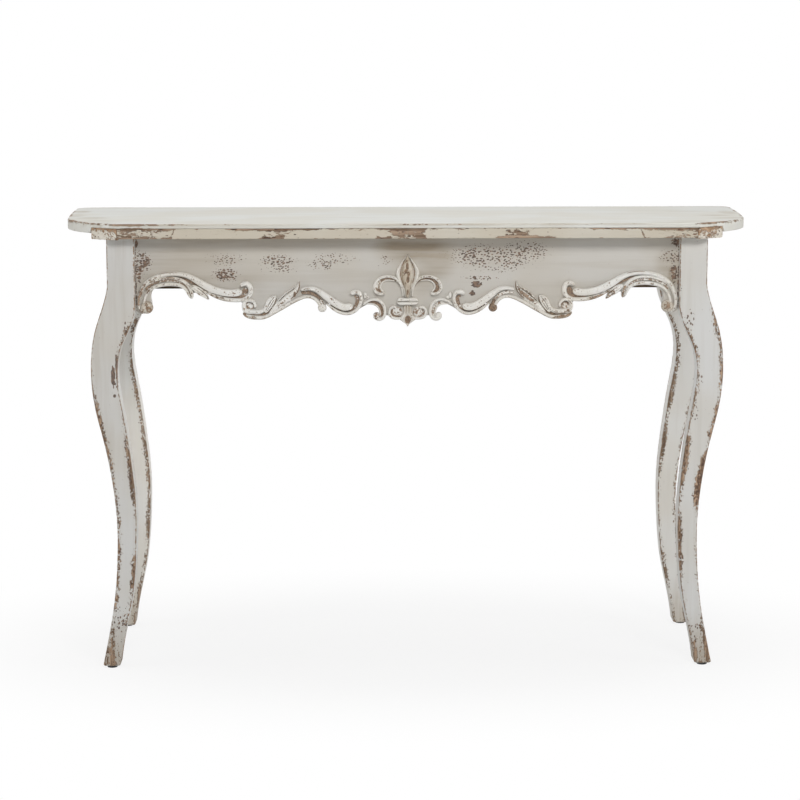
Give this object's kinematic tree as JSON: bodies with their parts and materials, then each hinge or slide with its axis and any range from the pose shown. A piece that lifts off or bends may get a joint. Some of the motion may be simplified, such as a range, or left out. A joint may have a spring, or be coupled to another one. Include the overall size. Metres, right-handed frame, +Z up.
{
  "type": "pier table",
  "caption": "Painted wooden pier table with canted corners, a carved scrolling apron with a fleur-de-lis, and S-curved legs on glides.",
  "frame": {"origin": "on the floor, under the middle of the top", "axes": "+Z up, +X along the length to the right seen from the front, the front faces -Y"},
  "size_m": [1.228, 0.38, 0.8],
  "materials": {
    "top_paint": "off-white paint, lightly worn",
    "frame_paint": "off-white paint, rubbed through at the edges",
    "strip_paint": "cream paint, heavily chipped",
    "carving_paint": "off-white paint with brown hollows",
    "raw_wood": "bare dark wood",
    "glide": "black, matt",
    "steel": "plain"
  },
  "bodies": {
    "root": {"arch_leaves_left": "carving_paint", "arch_leaves_right": "carving_paint", "back_rail": "raw_wood", "bead_drops_left": "carving_paint", "bead_drops_right": "carving_paint", "brace_back_left": "raw_wood", "brace_back_right": "raw_wood", "brace_front_left": "raw_wood", "brace_front_right": "raw_wood", "c_scroll_left": "carving_paint", "c_scroll_right": "carving_paint", "cant_block_left": "strip_paint", "cant_block_right": "strip_paint", "edge_strip_end_left": "strip_paint", "edge_strip_end_right": "strip_paint", "edge_strip_middle_left": "strip_paint", "edge_strip_middle_right": "strip_paint", "fleur_band": "carving_paint", "fleur_curl_left": "carving_paint", "fleur_curl_right": "carving_paint", "fleur_foot": "carving_paint", "fleur_petal": "carving_paint", "fleur_side_petal_left": "carving_paint", "fleur_side_petal_right": "carving_paint", "front_apron": "frame_paint", "glide_back_left": "glide", "glide_back_right": "glide", "glide_front_left": "glide", "glide_front_right": "glide", "glide_nails": "steel", "inner_scroll_left": "carving_paint", "inner_scroll_right": "carving_paint", "leaf_pair_left": "carving_paint", "leaf_pair_right": "carving_paint", "leg_back_left": "frame_paint", "leg_back_right": "frame_paint", "leg_front_left": "frame_paint", "leg_front_right": "frame_paint", "middle_scroll_left": "carving_paint", "middle_scroll_right": "carving_paint", "outer_scroll_left": "carving_paint", "outer_scroll_right": "carving_paint", "side_apron_left": "frame_paint", "side_apron_right": "frame_paint", "top_board": "top_paint", "top_screws": "steel"}
  },
  "joints": []
}
